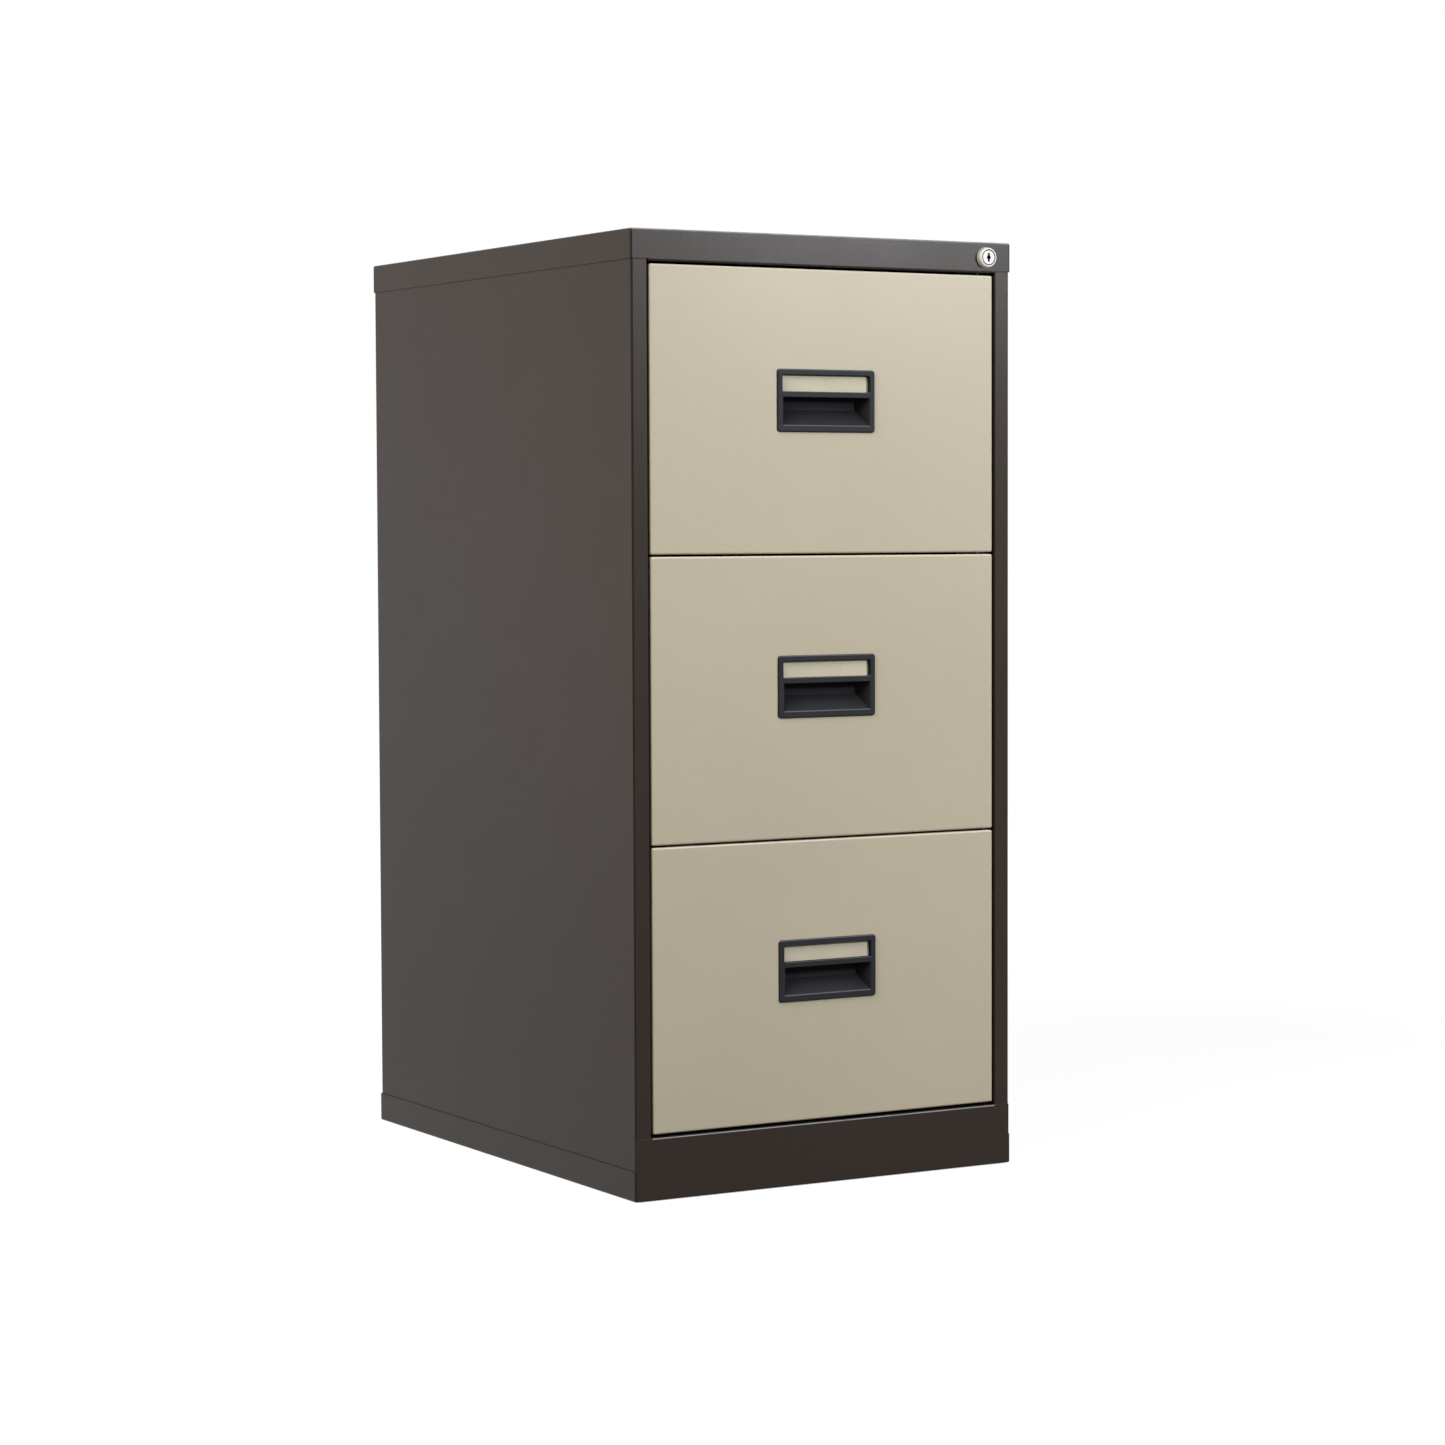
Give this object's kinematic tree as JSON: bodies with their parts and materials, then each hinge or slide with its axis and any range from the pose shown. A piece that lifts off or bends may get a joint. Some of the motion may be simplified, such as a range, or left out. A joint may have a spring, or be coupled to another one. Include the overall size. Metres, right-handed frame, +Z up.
{
  "type": "metal filing cabinet",
  "caption": "Upright sheet-steel filing cabinet in coffee brown with cream drawers, recessed black card-frame pulls, full-extension ball slides and a front lock that bars the drawers.",
  "frame": {"origin": "on the floor, midway between the sides and midway between the lock's face and the back", "axes": "+X right as seen from the front, +Y towards the back, +Z up"},
  "size_m": [0.467, 0.6312, 1],
  "materials": {
    "case_paint": "fine textured satin enamel, coffee brown",
    "drawer_paint": "fine textured satin enamel, cream",
    "zinc_steel": "bright zinc plate",
    "black_plastic": "moulded, fine grain",
    "card": "plain uncoated card",
    "lock_nickel": "bright nickel plate"
  },
  "bodies": {
    "case": {"top_cap": "case_paint", "base_tray": "case_paint", "side_panel_left": "case_paint", "side_panel_right": "case_paint", "back_panel": "case_paint", "back_rivets": "zinc_steel", "uprights_front": "zinc_steel", "uprights_rear": "zinc_steel", "cross_rail": "zinc_steel", "base_gussets": "zinc_steel", "glides": "black_plastic", "lock_barrel": "lock_nickel", "lock_clip": "zinc_steel", "lock_bar_guides": "zinc_steel", "slide_outer_1": "zinc_steel", "slide_outer_2": "zinc_steel", "slide_outer_3": "zinc_steel"},
    "lock_plug": {"lock_plug": "lock_nickel", "lock_cam": "zinc_steel"},
    "lock_bar": {"lock_bar": "zinc_steel", "lock_bar_fittings": "zinc_steel"},
    "drawer_1": {"drawer_1_front": "drawer_paint", "drawer_1_liner": "drawer_paint", "drawer_1_handle": "black_plastic", "drawer_1_card": "card", "drawer_1_side_left": "drawer_paint", "drawer_1_side_right": "drawer_paint", "drawer_1_bottom": "drawer_paint", "drawer_1_back": "drawer_paint", "drawer_1_catch": "zinc_steel", "slide_inner_1": "zinc_steel"},
    "slide_middle_1": {"slide_middle_1": "zinc_steel"},
    "cage_outer_1": {"cage_outer_1": "zinc_steel"},
    "cage_inner_1": {"cage_inner_1": "zinc_steel"},
    "drawer_2": {"drawer_2_front": "drawer_paint", "drawer_2_liner": "drawer_paint", "drawer_2_handle": "black_plastic", "drawer_2_card": "card", "drawer_2_side_left": "drawer_paint", "drawer_2_side_right": "drawer_paint", "drawer_2_bottom": "drawer_paint", "drawer_2_back": "drawer_paint", "drawer_2_catch": "zinc_steel", "slide_inner_2": "zinc_steel"},
    "slide_middle_2": {"slide_middle_2": "zinc_steel"},
    "cage_outer_2": {"cage_outer_2": "zinc_steel"},
    "cage_inner_2": {"cage_inner_2": "zinc_steel"},
    "drawer_3": {"drawer_3_front": "drawer_paint", "drawer_3_liner": "drawer_paint", "drawer_3_handle": "black_plastic", "drawer_3_card": "card", "drawer_3_side_left": "drawer_paint", "drawer_3_side_right": "drawer_paint", "drawer_3_bottom": "drawer_paint", "drawer_3_back": "drawer_paint", "drawer_3_catch": "zinc_steel", "slide_inner_3": "zinc_steel"},
    "slide_middle_3": {"slide_middle_3": "zinc_steel"},
    "cage_outer_3": {"cage_outer_3": "zinc_steel"},
    "cage_inner_3": {"cage_inner_3": "zinc_steel"}
  },
  "joints": [
    {"name": "drawer_1_pull", "type": "slide", "parent": "case", "child": "drawer_1", "axis": [0, -1, 0], "range_m": [0, 0.54]},
    {"name": "slide_middle_1_run", "type": "slide", "parent": "case", "child": "slide_middle_1", "axis": [0, -1, 0], "range_m": [0, 0.27]},
    {"name": "cage_outer_1_roll", "type": "slide", "parent": "case", "child": "cage_outer_1", "axis": [0, -1, 0], "range_m": [0, 0.135]},
    {"name": "cage_inner_1_roll", "type": "slide", "parent": "slide_middle_1", "child": "cage_inner_1", "axis": [0, -1, 0], "range_m": [0, 0.135]},
    {"name": "drawer_2_pull", "type": "slide", "parent": "case", "child": "drawer_2", "axis": [0, -1, 0], "range_m": [0, 0.54]},
    {"name": "slide_middle_2_run", "type": "slide", "parent": "case", "child": "slide_middle_2", "axis": [0, -1, 0], "range_m": [0, 0.27]},
    {"name": "cage_outer_2_roll", "type": "slide", "parent": "case", "child": "cage_outer_2", "axis": [0, -1, 0], "range_m": [0, 0.135]},
    {"name": "cage_inner_2_roll", "type": "slide", "parent": "slide_middle_2", "child": "cage_inner_2", "axis": [0, -1, 0], "range_m": [0, 0.135]},
    {"name": "drawer_3_pull", "type": "slide", "parent": "case", "child": "drawer_3", "axis": [0, -1, 0], "range_m": [0, 0.54]},
    {"name": "slide_middle_3_run", "type": "slide", "parent": "case", "child": "slide_middle_3", "axis": [0, -1, 0], "range_m": [0, 0.27]},
    {"name": "cage_outer_3_roll", "type": "slide", "parent": "case", "child": "cage_outer_3", "axis": [0, -1, 0], "range_m": [0, 0.135]},
    {"name": "cage_inner_3_roll", "type": "slide", "parent": "slide_middle_3", "child": "cage_inner_3", "axis": [0, -1, 0], "range_m": [0, 0.135]},
    {"name": "lock_turn", "type": "hinge", "parent": "case", "child": "lock_plug", "pos_m": [0.2015, -0.3094, 0.9835], "axis": [0, -1, 0], "range_deg": [0, 90]},
    {"name": "lock_bar_lift", "type": "slide", "parent": "case", "child": "lock_bar", "axis": [0, 0, 1], "range_m": [0, 0.01344]}
  ],
  "couplings": [
    {"joint": "slide_middle_1_run", "follows": "drawer_1_pull", "ratio": 0.5},
    {"joint": "cage_outer_1_roll", "follows": "drawer_1_pull", "ratio": 0.25},
    {"joint": "cage_inner_1_roll", "follows": "drawer_1_pull", "ratio": 0.25},
    {"joint": "slide_middle_2_run", "follows": "drawer_2_pull", "ratio": 0.5},
    {"joint": "cage_outer_2_roll", "follows": "drawer_2_pull", "ratio": 0.25},
    {"joint": "cage_inner_2_roll", "follows": "drawer_2_pull", "ratio": 0.25},
    {"joint": "slide_middle_3_run", "follows": "drawer_3_pull", "ratio": 0.5},
    {"joint": "cage_outer_3_roll", "follows": "drawer_3_pull", "ratio": 0.25},
    {"joint": "cage_inner_3_roll", "follows": "drawer_3_pull", "ratio": 0.25},
    {"joint": "lock_turn", "follows": "lock_bar_lift", "rad_per_m": 116.91}
  ]
}
